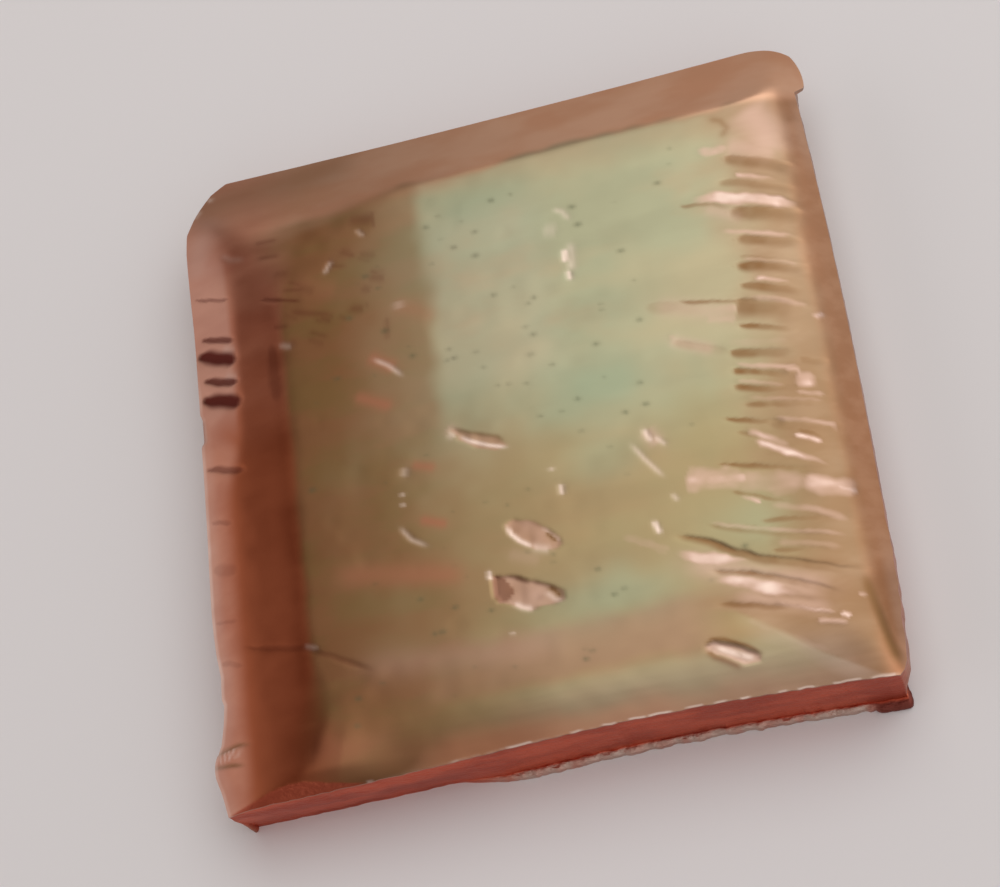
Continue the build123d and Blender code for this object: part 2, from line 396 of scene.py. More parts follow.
# the left shoulder has a gentle inner facet, and a steeper outer one from the knee to the rim
inner_slope = 0.20 - 0.13 * far_left_corner
inner_softness = 0.55 + 1.2 * far_left_corner + 1.2 * near_left_corner
knee = 5.5 - 2.8 * lower
outer_slope = 0.99 / knee + 0.16 * far_left_corner
outer_softness = 0.30 + 0.7 * lower + far_left_corner
left_drop = slope_from(left_inset, 11.0, inner_slope, inner_softness)
left_drop += slope_from(left_inset, knee, outer_slope, outer_softness)

# the near shoulder is a short steep roll at its left end
far_drop = slope_from(far_inset, start=8.0, rise=0.375, softness=0.25 + 1.5 * far_left_corner)
right_drop = slope_from(right_inset, start=2.9, rise=0.93, softness=1.25)
near_drop = slope_from(near_inset, start=6.0, rise=0.267, softness=1.5) * (1 - 0.6 * near_left_roll)
near_drop += slope_from(near_inset, start=1.5, rise=0.8, softness=0.4) * near_left_roll

drops = np.stack([left_drop, far_drop, right_drop, near_drop])
blend_power = 5.0 - 2.4 * far_left_corner - 2.6 * near_right_corner - 2.6 * far_right_corner
shoulder_height = top - (drops ** blend_power).sum(0) ** (1 / blend_power)
print("rim heights", round(shoulder_height[:, 0].mean(), 1), round(shoulder_height[0].mean(), 1))

# %% [markdown]
# ## Folds, grooves and pits
#
# As the right edge was drawn over, the face puckered into folds that run in from the rim. A fold has two
# parts: a hollow, painted brown, partly for its oxide and partly as painted shade, and on its near side a
# crest, painted bright, partly for rubbed metal and partly as a painted highlight. The left shoulder has
# short cross grooves, painted dark red as painted shade, the face has fine scratches, and flakes have left
# pits in it.
# Each mark is a stroke: a line of plan points with a width, a depth or height, and a strength of its
# colour. Strokes are drawn straight into the heights and colour values of the grid, which keeps the skin
# one closed mesh.

# %% Strokes
# the values that the material reads, each from 0 to 1; the height is kept beside them
mask_names = ("film", "khaki", "tan", "brown", "far", "dull", "rim", "near", "left", "inner",
              "teal", "rust", "speck", "rosy", "bare", "dark", "dark_red_and_shade", "cut", "burr", "tooth")
layers = {name: np.zeros_like(x) for name in ("height",) + mask_names}


def follow(points):
    """How far along a stroke each grid point is, from 0 to 1, and how far off it; + on the far side."""
    very_far = 1e9
    points = np.array(points, float)
    lengths = np.linalg.norm(np.diff(points, axis=0), axis=1)
    ends = np.concatenate([[0], np.cumsum(lengths)]) / lengths.sum()
    nearest = np.full_like(x, very_far)
    away = np.zeros_like(x)
    share = np.zeros_like(x)
    for number, (first, last) in enumerate(zip(points, points[1:])):
        run = last - first
        t = np.clip(((x - first[0]) * run[0] + (y - first[1]) * run[1]) / (run @ run), 0, 1)
        off_x, off_y = x - first[0] - t * run[0], y - first[1] - t * run[1]
        distance = np.hypot(off_x, off_y)
        side = np.sign(run[0] * off_y - run[1] * off_x)
        away = np.where(distance < nearest, side * distance, away)
        share = np.where(distance < nearest, ends[number] + t * (ends[number + 1] - ends[number]), share)
        nearest = np.minimum(nearest, distance)
    return share, away


def strengthen(name, mark):
    """Raises a colour layer to a mark where the mark is stronger."""
    layers[name] = np.maximum(layers[name], mark)


# %% Hollows and crests
def add_hollow(points, width, depth, strength, start=0.12, fade=0.25):
    """A hollow with a pointed inner end: crisp on its far side, soft on its near side, paler to the rim."""
    share, away = follow(points)
    away = away + 0.12 * ripple(x, y, 1.3, 41)
    half = 0.5 * width * (0.4 + 0.6 * step(share, -0.05, start + 0.04))
    ends = step(share, -0.02, 0.06) * step(share, 1.0, 1.0 - fade)
    far_edge = step(away, half + 0.16, half - 0.10)
    layers["height"] -= 0.55 * depth * ends * far_edge * step(away, -half - 0.3, half)
    mark = far_edge * step(away, -half - 0.25, -half + 0.5 * width)
    paler = 1 - 0.65 * step(share, 0.15, 1.0)
    # the brown is partly the hollow's oxide and partly painted shade
    strengthen("dark", strength * paler * ends * mark * (0.9 + 0.15 * ripple(x, y, 0.8, 45)))


def add_crest(points, width, height, strength, start=0.15, fade=0.2):
    """A crest: a rounded ridge, painted pink and bright, partly for rubbed metal and partly as a painted
    highlight.
    """
    share, away = follow(points)
    away = away + (0.05 + 0.09 * width) * ripple(x, y, 0.9, 42)
    ends = step(share, -0.02, start) * step(share, 1.02, 1.0 - fade)
    sharpness = 1.0 if width < 1.0 else 2.0
    hump = bell(np.abs(away / (0.55 * max(width, 0.55) * (0.5 + 0.5 * ends))) ** sharpness, 1.0) * ends
    layers["height"] += 0.7 * height * hump
    layers["dark"] *= 1 - np.clip(1.1 * hump, 0, 1)
    patchy = 0.3 * ripple(0.4 * x, y + 0.2 * x, 0.8, 44) + 0.1 * ripple(x, y, 0.6, 46)
    rubbed_and_glinting = strength * hump * (0.9 + patchy)
    strengthen("rosy", np.clip(1.5 * rubbed_and_glinting - 0.2, 0, 0.9))
    strengthen("bare", step(rubbed_and_glinting, 0.5, 1.15))


# %% Lines of colour
def add_line(name, points, width, strength):
    """A soft line on one colour layer, fading at both ends."""
    share, away = follow(points)
    mark = strength * step(share, -0.06, 0.18) * step(share, 1.06, 0.82) * bell(away, 0.55 * width)
    if name == "dark":
        for paler_name in ("rust", "rosy", "bare"):
            layers[paler_name] *= 1 - mark
    if name == "rosy":
        mark = mark * (1 - 0.8 * layers["dark"])
    strengthen(name, mark)


def add_lines(marks):
    """Draws each mark, given as a layer's name, points, width and strength."""
    for mark in marks:
        add_line(*mark)


# %% Hollows of the folds
# points from the inner end to the rim; width; depth; strength of the brown; start and fade of its ends
hollows = [
    ([(27.0, 23.2), (30.5, 21.9), (34.6, 20.1)], 1.6, 0.14, 0.8),
    ([(26.0, 20.5), (29.0, 19.6), (34.4, 17.6)], 0.9, 0.09, 0.55),
    ([(21.5, 18.9), (25.0, 18.2), (27.0, 17.0)], 0.4, 0.05, 0.7),
    ([(26.6, 16.6), (29.0, 15.8), (34.8, 14.2)], 1.9, 0.15, 0.8),
    ([(26.9, 13.1), (29.5, 12.3), (34.0, 10.9)], 1.3, 0.12, 0.8),
    ([(27.0, 11.1), (31.5, 9.5)], 0.4, 0.04, 0.5),
    ([(26.3, 10.0), (29.0, 9.2), (34.0, 7.5)], 1.4, 0.15, 1.0),
    ([(26.4, 7.7), (28.8, 6.8), (33.0, 5.1)], 1.0, 0.12, 0.9),
    ([(16.0, 7.6), (19.5, 6.6), (22.5, 5.5)], 1.5, 0.03, 0.25),
    ([(25.4, 4.9), (28.0, 4.3), (31.6, 2.9)], 2.7, 0.14, 0.8, 0.02),
    ([(19.5, 7.4), (25.5, 5.9), (33.2, 3.4)], 0.4, 0.07, 0.8),
    ([(25.5, 3.0), (28.2, 2.1), (31.0, 1.2)], 0.6, 0.08, 1.0),
    ([(18.2, 2.8), (22.0, 1.1), (24.5, 0.0)], 0.9, 0.05, 0.35),
    ([(24.0, 0.1), (27.0, -0.7), (31.0, -2.0)], 1.3, 0.12, 0.9),
    ([(31.0, -2.5), (34.0, -3.4)], 1.0, 0.08, 0.5),
    ([(24.0, -2.0), (26.5, -2.8), (30.3, -4.5)], 0.8, 0.12, 1.0, 0.05),
    ([(23.8, -3.9), (26.5, -4.8), (30.6, -5.7)], 0.7, 0.11, 0.95, 0.05),
    ([(24.5, -6.1), (28.0, -7.0), (33.8, -8.1)], 0.8, 0.09, 0.75),
    ([(22.3, -7.3), (25.0, -8.2), (28.5, -9.1)], 0.6, 0.10, 1.0, 0.4, 0.1),
    ([(26.6, -8.9), (30.0, -10.1), (34.5, -11.2)], 1.6, 0.09, 0.6),
    ([(29.6, -10.2), (32.4, -11.8)], 0.4, 0.06, 0.9),
    ([(23.4, -9.0), (25.5, -10.0), (28.6, -12.0)], 0.4, 0.06, 0.6),
    ([(20.8, -12.1), (24.0, -13.0), (32.0, -15.5)], 0.55, 0.12, 1.0, 0.3),
    ([(21.8, -15.4), (25.0, -17.0), (28.2, -18.3)], 0.4, 0.06, 0.85),
    ([(24.2, -19.3), (29.0, -20.1), (33.4, -21.3)], 0.55, 0.07, 0.75),
    ([(18.8, -18.6), (24.3, -20.5), (28.0, -21.9), (33.5, -23.4)], 0.9, 0.08, 0.6),
    ([(24.8, -22.8), (28.0, -23.3), (32.5, -24.6)], 0.5, 0.08, 0.7),
    ([(15.3, -19.0), (18.5, -20.5), (21.0, -22.3), (24.2, -23.8), (28.0, -25.2), (31.0, -26.4),
      (35.2, -27.4)], 1.1, 0.20, 1.0, 0.35, 0.2),
    ([(18.3, -23.6), (22.0, -24.8), (26.0, -26.5), (29.0, -28.0), (32.4, -29.7)], 0.95, 0.18, 1.0, 0.3),
    ([(18.5, -27.3), (22.0, -28.2), (26.0, -29.3), (30.0, -30.9)], 0.6, 0.11, 0.9),
    ([(22.5, -26.9), (25.0, -27.8), (28.5, -29.2)], 0.5, 0.06, 0.5),
]
for row in hollows:
    add_hollow(*row)
print(len(hollows), "hollows")

# %% Crests of the folds
# points from the inner end to the rim; width; height; strength of the bare metal and painted highlight;
# start and fade
crests = [
    ([(24.0, 25.0), (28.4, 24.4)], 1.2, 0.04, 0.6, 0.3, 0.3),
    ([(28.0, 21.1), (30.5, 20.2), (33.6, 18.9)], 0.65, 0.09, 0.7, 0.05, 0.7),
    ([(22.0, 19.4), (25.5, 18.9), (30.0, 17.4), (34.3, 15.8)], 1.3, 0.10, 0.95, 0.35, 0.2),
    ([(25.2, 14.7), (28.0, 13.9), (33.4, 12.1)], 0.6, 0.07, 0.5),
    ([(26.8, 10.9), (30.5, 9.7), (33.5, 8.5)], 0.5, 0.06, 0.3),
    ([(28.0, 8.1), (29.2, 7.8), (33.0, 6.4)], 0.55, 0.07, 0.7, 0.1, 0.7),
    ([(25.8, 6.6), (29.0, 5.5), (30.8, 4.7), (33.2, 3.6)], 0.8, 0.07, 0.45, 0.5, 0.1),
    ([(22.4, 5.3), (25.6, 4.4)], 2.2, 0.02, 0.4, 0.1, 0.1),
    ([(33.3, 2.3), (34.6, 2.7)], 0.6, 0.04, 0.6),
    ([(23.3, 1.2), (27.0, 0.6), (31.4, -0.5)], 1.2, 0.06, 0.2),
    ([(18.0, 3.5), (18.8, 3.3)], 0.7, 0.03, 0.5),
    ([(24.2, -1.1), (27.0, -2.2), (31.5, -3.4)], 0.6, 0.08, 0.5),
    ([(29.9, -4.5), (32.8, -5.0)], 1.5, 0.07, 0.75, 0.3, 0.4),
    ([(29.2, -2.9), (30.6, -3.5), (31.2, -4.6), (32.4, -5.9)], 0.45, 0.05, 0.6),
    ([(24.0, -3.1), (29.6, -5.1)], 0.55, 0.06, 0.35),
    ([(30.0, -6.0), (33.2, -6.8)], 0.5, 0.05, 0.5),
    ([(24.5, -5.3), (30.0, -6.8), (33.6, -7.7)], 0.5, 0.05, 0.3),
    ([(27.3, -8.3), (30.0, -9.2), (33.2, -10.3), (33.5, -11.6)], 0.45, 0.05, 0.5),
    ([(24.3, -8.9), (28.7, -12.0)], 0.8, 0.06, 0.6),
    ([(24.9, -10.4), (28.2, -12.4), (33.5, -15.6)], 0.8, 0.08, 0.9, 0.1, 0.65),
    ([(29.0, -10.7), (32.0, -12.1)], 0.45, 0.06, 0.9),
    ([(17.0, -12.9), (20.0, -13.6), (24.2, -14.8)], 2.5, 0.06, 0.58, 0.10, 0.30),
    ([(21.5, -14.1), (25.0, -15.1), (30.5, -16.6)], 2.5, 0.05, 0.40, 0.20, 0.25),
    ([(28.4, -16.1), (31.0, -16.8), (34.6, -17.7)], 2.1, 0.06, 0.60, 0.25, 0.15),
    ([(19.0, -13.5), (24.0, -14.4)], 1.2, 0.02, 0.75),
    ([(32.4, -17.3), (34.4, -18.0)], 0.95, 0.03, 0.75),
    ([(22.0, -15.9), (24.6, -17.2)], 0.45, 0.04, 0.7, 0.6, 0.05),
    ([(25.0, -17.7), (30.0, -19.3), (33.6, -21.4)], 0.9, 0.07, 0.4),
    ([(18.3, -18.0), (21.0, -19.1), (26.0, -20.7), (30.0, -21.8), (33.5, -23.0)], 0.45, 0.05, 0.4),
    ([(25.0, -21.9), (28.0, -22.6), (32.5, -24.1)], 0.9, 0.07, 0.3),
    ([(14.6, -20.5), (17.4, -21.9), (20.0, -22.7), (24.4, -24.6)], 1.4, 0.07, 0.78, 0.25, 0.5),
    ([(17.4, -24.2), (20.0, -25.0), (23.0, -26.2), (25.5, -27.2), (29.3, -28.8)], 1.4, 0.08, 0.86, 0.3, 0.5),
    ([(24.0, -28.1), (28.0, -29.8), (30.4, -30.7)], 0.5, 0.06, 0.6),
    ([(27.8, -31.0), (31.2, -31.8)], 0.5, 0.04, 0.6),
    ([(30.4, -30.7), (31.4, -31.2)], 0.6, 0.03, 0.75),
    ([(32.5, -29.0), (33.3, -29.3)], 0.5, 0.02, 0.6),
    ([(20.0, -28.4), (24.0, -31.2), (28.0, -34.2), (32.8, -36.8)], 1.1, 0.0, 0.2),
    ([(9.3, -17.2), (14.6, -20.6)], 1.1, 0.0, 0.3, 0.3, 0.1),
]
for row in crests:
    add_crest(*row)
print(len(crests), "crests")

# %% Grooves of the left shoulder
# points from the rim inwards; width; depth; strength of the dark
left_grooves = [
    ([(-36.0, 23.7), (-31.2, 21.7)], 0.4, 0.07, 0.5),
    ([(-35.6, 18.4), (-31.0, 16.4)], 0.75, 0.12, 0.8),
    ([(-36.3, 16.6), (-30.7, 13.8)], 1.6, 0.22, 1.0),
    ([(-35.7, 13.1), (-30.8, 11.1)], 0.9, 0.18, 0.9),
    ([(-36.1, 10.9), (-30.5, 8.5)], 1.7, 0.22, 1.0),
    ([(-36.2, 2.3), (-30.9, 0.1)], 0.8, 0.15, 0.6),
    ([(-36.0, -4.4), (-33.2, -5.6)], 0.5, 0.08, 0.3),
    ([(-36.2, -9.9), (-32.9, -11.3)], 1.2, 0.08, 0.2),
    ([(-36.4, -16.2), (-33.4, -17.1)], 0.4, 0.06, 0.2),
    ([(-36.0, -21.0), (-33.0, -22.2)], 0.6, 0.06, 0.2),
    ([(-33.0, -20.2), (-29.0, -21.5), (-25.5, -22.4), (-22.0, -24.3), (-18.2, -26.4)], 0.7, 0.06, 0.28),
    ([(-27.2, 20.3), (-24.8, 19.3)], 0.5, 0.05, 0.4),
    ([(-26.4, 14.5), (-26.2, 6.8)], 1.3, 0.0, 0.30),
]
for points, width, depth, strength in left_grooves:
    share, away = follow(points)
    ends = step(share, -0.02, 0.10) * step(share, 1.02, 0.85)
    away = away + 0.13 * ripple(x, y, 1.2, 43)
    taper = 0.45 + 0.55 * step(share, 0.0, 0.3) * step(share, 1.0, 0.8)
    layers["height"] -= 0.5 * depth * ends * bell(away, 0.6 * width * taper)
    # the dark red of the grooves is painted shade
    strengthen("dark_red_and_shade", strength * ends * step(np.abs(away), 0.76 * width * taper, 0.24 * width * taper))
print(len(left_grooves), "grooves")

# %% Scratches
# points; width; depth; strength of the bare metal
scratches = [
    ([(-6.0, -2.2), (-5.0, -3.1), (-3.0, -4.1), (-1.0, -4.7)], 0.5, 0.0, 0.9),
    ([(-14.8, 9.4), (-13.0, 8.1), (-12.2, 7.2), (-11.5, 6.3)], 0.5, 0.03, 0.5),
    ([(-13.8, -11.1), (-12.6, -12.9), (-10.8, -14.1)], 0.5, 0.03, 0.4),
    ([(-12.4, -4.4), (-12.7, -5.6)], 0.8, 0.02, 0.3),
    ([(-13.1, -7.3), (-13.1, -7.9)], 0.5, 0.0, 0.45),
    ([(-13.2, -8.4), (-13.1, -9.0)], 0.5, 0.0, 0.45),
    ([(8.25, 17.2), (8.1, 15.4)], 0.55, 0.04, 1.0),
    ([(8.3, 14.5), (8.4, 13.1)], 0.55, 0.04, 0.7),
    ([(9.0, 17.9), (8.7, 14.0)], 0.9, 0.02, 0.35),
    ([(7.5, 22.4), (8.6, 21.8), (9.3, 20.5)], 0.6, 0.02, 0.3),
    ([(6.0, 20.0), (7.8, 19.7)], 1.6, 0.01, 0.2),
    ([(4.2, -10.3), (4.15, -11.7)], 0.5, 0.04, 0.7),
    ([(13.3, -16.7), (13.8, -18.4)], 0.5, 0.04, 0.9),
    ([(13.7, -6.2), (14.4, -8.0)], 0.5, 0.05, 0.65),
    ([(14.8, -7.4), (15.9, -8.7)], 0.5, 0.03, 0.4),
    ([(12.1, -7.5), (13.4, -9.7), (15.2, -12.3)], 0.5, 0.03, 0.4),
    ([(15.6, -14.2), (16.2, -15.2)], 0.5, 0.03, 0.35),
    ([(-19.4, 21.3), (-18.3, 22.9)], 0.5, 0.03, 0.4),
    ([(-15.1, 26.1), (-14.3, 24.9)], 0.5, 0.03, 0.35),
    ([(-11.2, 15.8), (-11.1, 14.6)], 1.2, 0.01, 0.2),
    ([(-25.5, 13.9), (-23.9, 13.2)], 0.7, 0.02, 0.35),
    ([(-25.6, -22.1), (-24.0, -22.8)], 0.5, 0.02, 0.5),
    ([(-7.3, -1.6), (-6.6, -2.3)], 0.9, 0.01, 0.3),
    ([(3.4, -8.2), (3.4, -8.7)], 0.6, 0.0, 0.35),
    ([(-4.8, -18.6), (-4.7, -19.2)], 0.5, 0.0, 0.7),
    ([(-3.0, -25.4), (-3.0, -25.9)], 0.45, 0.0, 0.5),
    ([(-31.9, 27.8), (-30.6, 26.6), (-28.7, 26.0)], 0.7, 0.02, 0.25),
    ([(-35.2, 34.3), (-34.2, 35.2)], 0.7, 0.0, 0.5),
    ([(-33.4, 36.1), (-32.9, 36.7)], 0.8, 0.0, 0.7),
]
for points, width, depth, strength in scratches:
    share, away = follow(points)
    mark = bell(away, 0.55 * width) * step(share, -0.05, 0.25) * step(share, 1.05, 0.75)
    layers["height"] -= depth * mark
    strengthen("bare", strength * mark)
print(len(scratches), "scratches")

# %% Flake pits
def inside_of(outline):
    """How far inside a closed outline each grid point lies; negative outside it."""
    closed = outline + outline[:1]
    odd = np.zeros(x.shape, bool)
    for (ax, ay), (bx, by) in zip(closed, closed[1:]):
        if ay != by:
            odd ^= ((ay > y) != (by > y)) & (x < (bx - ax) * (y - ay) / (by - ay) + ax)
    return np.where(odd, 1, -1) * np.abs(follow(closed)[1])


def add_pit(outline, depth, rosy, bare):
    """A pit where a flake came off: torn pink metal, deepest on its far side."""
    inside = step(inside_of(outline) + 0.08 * ripple(x, y, 0.7, 5), -0.12, 0.22)
    for name in ("dark", "rosy", "bare"):
        layers[name] *= 1 - inside
    strengthen("rust", 0.45 * inside)
    low_y, high_y = min(p[1] for p in outline), max(p[1] for p in outline)
    layers["height"] -= depth * inside * (0.5 + 0.5 * step(y, low_y, high_y))
    strengthen("rosy", rosy * inside * (0.85 + 0.3 * ripple(x, y, 1.3, 10)))
    strengthen("bare", bare * inside * (0.7 + 0.6 * ripple(x, y, 0.8, 11)))
    layers["height"] += 0.012 * inside * ripple(x, y, 0.8, 12)


# %% Upper large pit
add_pit([(-2.3, -13.5), (-1.6, -13.2), (0.4, -13.7), (1.9, -14.8), (3.1, -16.0), (3.5, -17.1), (2.6, -17.6),
         (0.4, -17.0), (-1.2, -15.8), (-2.1, -14.6)], 0.06, 0.45, 0.0)
# the bright and dark lines inside the pits are painted highlight and painted shade along their walls and
# rims
add_lines([
    ("bare", [(-2.2, -13.8), (-1.8, -14.8), (-1.0, -15.7), (0.3, -16.7)], 0.45, 0.8),
    ("bare", [(0.3, -16.7), (2.1, -17.4)], 0.9, 0.4),
    ("bare", [(1.6, -14.8), (3.3, -16.7)], 0.35, 0.35),
    ("dark", [(1.9, -15.4), (2.9, -16.7)], 0.5, 1.0),
])

# %% Lower large pit, with a corner of painted shade
add_pit([(-4.4, -19.0), (-3.0, -19.2), (-1.8, -19.6), (-0.5, -20.3), (1.3, -21.1), (2.8, -22.1),
         (2.9, -23.2), (1.9, -23.5), (0.5, -23.4), (-0.7, -23.7), (-1.9, -23.1), (-2.9, -22.4),
         (-4.1, -22.1), (-4.5, -21.0)], 0.12, 0.55, 0.0)
torn_shade = step(inside_of([(-4.3, -18.8), (-3.2, -19.3), (-2.1, -21.2), (-3.1, -22.1), (-4.2, -22.1),
                             (-4.6, -21.0)]), -0.05, 0.15)
layers["rosy"] *= 1 - 0.5 * torn_shade
strengthen("dark_red_and_shade", 0.5 * torn_shade)
add_lines([
    ("bare", [(-2.4, -22.4), (-1.6, -23.1), (-0.5, -23.5)], 0.6, 0.6),
    ("bare", [(-4.7, -18.3), (-4.7, -19.3)], 0.45, 0.8),
    ("bare", [(1.0, -21.9), (2.0, -23.0), (2.8, -23.2)], 0.5, 0.4),
    ("dark", [(1.3, -21.4), (2.1, -22.0), (2.5, -22.9)], 0.6, 1.0),
])

# %% Pit near the right corner
add_pit([(16.5, -31.2), (17.2, -30.9), (18.3, -31.2), (19.5, -31.7), (20.7, -32.5), (21.8, -33.1),
         (21.6, -33.8), (20.6, -33.9), (19.8, -33.8), (19.0, -33.2), (18.2, -32.7), (17.2, -32.2),
         (16.5, -31.8)], 0.11, 0.75, 0.20)
add_lines([
    ("dark", [(17.5, -31.8), (18.7, -32.6)], 0.35, 0.45),
    ("dark", [(19.0, -31.9), (20.8, -33.0)], 0.35, 0.40),
    ("bare", [(17.4, -31.5), (19.0, -32.4), (21.2, -33.5)], 0.6, 0.8),
    ("dark", [(16.4, -31.2), (17.2, -30.7), (18.4, -30.9), (20.7, -32.1), (21.9, -33.1)], 0.4, 0.9),
    ("dark", [(16.4, -31.5), (17.2, -32.5), (18.4, -33.2), (19.8, -34.2)], 0.7, 0.95),
    ("dark", [(19.4, -32.4), (20.0, -33.0)], 0.4, 0.4),
])

# %% Shallow pit in the middle
add_pit([(-7.0, -1.1), (-5.0, -2.1), (-2.0, -3.3), (-0.9, -4.5), (-2.2, -4.9), (-4.5, -4.0), (-6.3, -2.6)],
        0.04, 0.2, 0.0)
add_lines([
    ("dark", [(-6.8, -1.1), (-5.0, -2.1), (-2.0, -3.3), (-1.1, -4.3)], 0.5, 0.5),
    ("bare", [(-6.0, -2.3), (-5.0, -3.1), (-3.0, -4.1), (-1.0, -4.8)], 0.4, 0.9),
    ("rosy", [(-7.4, -0.9), (-6.2, -2.0)], 1.2, 0.4),
])

# %% [markdown]
# ## Streaks, specks and flecks
#
# The film is also marked by rosy streaks, dark smears, small specks and flecks of scale. The streaks and
# the larger specks are listed one by one. The smallest specks and the flecks are too many for that, so
# seeded dice scatter them, in the same way on each run.

# %% Rosy streaks and dark smears
# layer, points, width, strength
smears = [
    ("rust", [(-22.5, 30.0), (-12.5, 29.4), (-1.0, 29.6)], 2.4, 0.35),
    ("rust", [(-17.4, 5.4), (-13.0, 3.0)], 1.4, 0.75),
    ("rust", [(-11.9, 15.6), (-7.0, 12.5)], 2.0, 0.28),
    ("rust", [(-23.5, 21.2), (-17.9, 19.0)], 2.4, 0.31),
    ("rust", [(-15.4, 9.8), (-12.2, 7.6)], 1.7, 0.70),
    ("rust", [(-22.0, -14.8), (-11.2, -17.2), (-6.6, -18.3)], 2.6, 0.62),
    ("rosy", [(-20.5, -25.5), (-6.7, -27.2), (3.0, -27.6)], 3.2, 0.20),
    ("rust", [(-11.6, -10.8), (-8.4, -12.1)], 1.1, 0.80),
    ("rust", [(-11.8, -4.3), (-9.0, -5.3)], 1.1, 0.65),
    ("rust", [(-27.0, -33.5), (-19.0, -35.0), (-9.0, -36.2), (1.0, -36.4)], 3.4, 0.38),
    ("rosy", [(13.9, -6.4), (15.1, -8.4)], 1.5, 0.55),
    ("rosy", [(16.8, 7.7), (22.8, 5.5), (25.4, 4.4)], 2.0, 0.35),
    # this dark smear is painted shade, laid over the lamp's reflection on the rounded near right corner
    ("dark", [(33.2, -26.5), (33.7, -29.5), (34.5, -34.3), (35.3, -37.2)], 1.4, 0.90),
    ("rosy", [(17.8, 3.3), (22.7, 0.8)], 1.3, 0.45),
    ("rosy", [(24.0, 17.9), (28.2, 15.6)], 1.4, 0.35),
    # these two rosy smears are a painted pink highlight over the far right corner of the face
    ("rosy", [(30.4, 29.4), (32.2, 25.8), (31.8, 22.8)], 4.4, 0.60),
    ("rosy", [(27.4, 24.9), (33.0, 22.8)], 2.4, 0.50),
    ("rosy", [(-2.5, -16.8), (1.0, -18.4)], 1.4, 0.20),
    ("dark", [(24.5, -23.6), (29.0, -25.0), (34.5, -26.6)], 1.3, 0.50),
    ("rosy", [(-35.4, 25.5), (-34.8, 29.5), (-32.6, 34.0)], 5.0, 0.40),
    ("bare", [(-35.6, 22.0), (-35.2, 28.0), (-34.0, 32.0)], 4.0, 0.14),
    ("rosy", [(-32.8, 15.9), (-31.0, 15.2)], 1.3, 0.50),
    ("rosy", [(-32.8, 12.4), (-31.0, 11.7)], 1.2, 0.50),
    ("rosy", [(15.6, -21.8), (21.0, -24.2), (26.0, -26.4), (30.0, -28.2)], 2.6, 0.55),
    ("rosy", [(20.0, -26.6), (25.0, -28.3), (29.8, -30.0)], 1.6, 0.42),
    ("dark", [(-37.0, 35.0), (-14.0, 36.8)], 5.0, 0.40),
    ("dark", [(26.2, 28.8), (27.5, 28.2), (28.1, 27.1), (27.2, 26.0)], 0.7, 0.45),
    ("dark_red_and_shade", [(-36.5, 8.4), (-36.4, 5.2)], 0.9, 0.60),
    ("dark_red_and_shade", [(-27.4, 27.6), (-24.6, 27.4)], 0.5, 0.30),
    ("dark_red_and_shade", [(-27.2, 25.6), (-24.4, 25.2)], 0.5, 0.30),
    ("dark", [(-15.6, 26.9), (-13.0, 26.0)], 2.2, 0.55),
    ("dark_red_and_shade", [(-26.0, -33.6), (-22.4, -34.6)], 4.5, 0.35),
    ("dark", [(32.4, 29.6), (34.2, 28.6), (35.2, 26.5)], 2.0, 0.30),
    ("dark_red_and_shade", [(-26.7, 20.1), (-22.4, 18.7)], 0.4, 0.55),
    ("dark_red_and_shade", [(-23.9, 17.7), (-18.9, 16.0)], 0.8, 0.35),
    ("dark_red_and_shade", [(-24.5, 20.6), (-21.5, 20.0)], 0.5, 0.30),
    ("dark_red_and_shade", [(-21.8, 14.6), (-19.6, 13.4)], 0.6, 0.25),
    ("dark_red_and_shade", [(-16.0, 27.4), (-12.9, 26.9)], 1.5, 0.38),
    ("dark_red_and_shade", [(-12.9, 28.0), (-13.1, 25.6)], 0.4, 0.35),
    ("dark_red_and_shade", [(-12.6, 14.2), (-12.9, 11.2)], 0.6, 0.25),
]
add_lines(smears)
print(len(smears), "streaks and smears")

# %% Specks
# the listed ones: x, y, size; the rest are scattered
specks = [
    (-0.3, 13.6, 0.35), (4.1, 12.1, 0.35), (3.4, 11.6, 0.3), (2.7, 8.8, 0.3), (3.5, 7.7, 0.35),
    (2.9, 5.4, 0.4), (5.1, 3.6, 0.25), (3.0, -2.1, 0.3), (10.1, 4.8, 0.5), (7.3, -1.1, 0.3),
    (7.2, -4.9, 0.25), (14.4, 15.2, 0.4), (-5.6, 7.1, 0.35), (-1.5, 22.0, 0.4), (-1.8, 19.0, 0.5),
    (-4.1, 20.7, 0.4),
    (-7.0, 24.1, 0.5), (0.8, 25.4, 0.4), (6.8, -20.7, 0.3), (8.1, -23.8, 0.3), (9.2, -23.4, 0.3),
    (-8.7, -21.5, 0.35), (-10.4, -23.9, 0.45), (-11.2, -23.9, 0.4), (-12.3, -19.8, 0.3), (-4.9, -22.7, 0.3),
    (4.2, -30.0, 0.35), (5.0, -29.3, 0.3), (14.2, -0.9, 0.35), (14.4, -3.5, 0.35), (12.1, -3.9, 0.35),
    (15.2, 6.4, 0.35), (9.7, 22.1, 0.45), (10.1, 19.7, 0.5),
    (19.5, 22.4, 0.4), (22.2, -21.6, 0.4), (-20.2, -29.2, 0.4), (-20.6, -32.0, 0.35), (-23.1, -4.6, 0.5),
    (-17.0, 15.1, 0.5), (-13.0, 12.4, 0.5), (-14.6, 19.8, 0.5), (-10.2, 8.6, 0.5), (-19.0, 8.0, 0.4),
]
scattered_specks = 50
speck_dice = np.random.default_rng(83)
for _ in range(scattered_specks):
    place_x, place_y = speck_dice.uniform(-22, 24), speck_dice.uniform(-31, 28)
    specks.append((place_x, place_y, speck_dice.uniform(0.12, 0.26)))
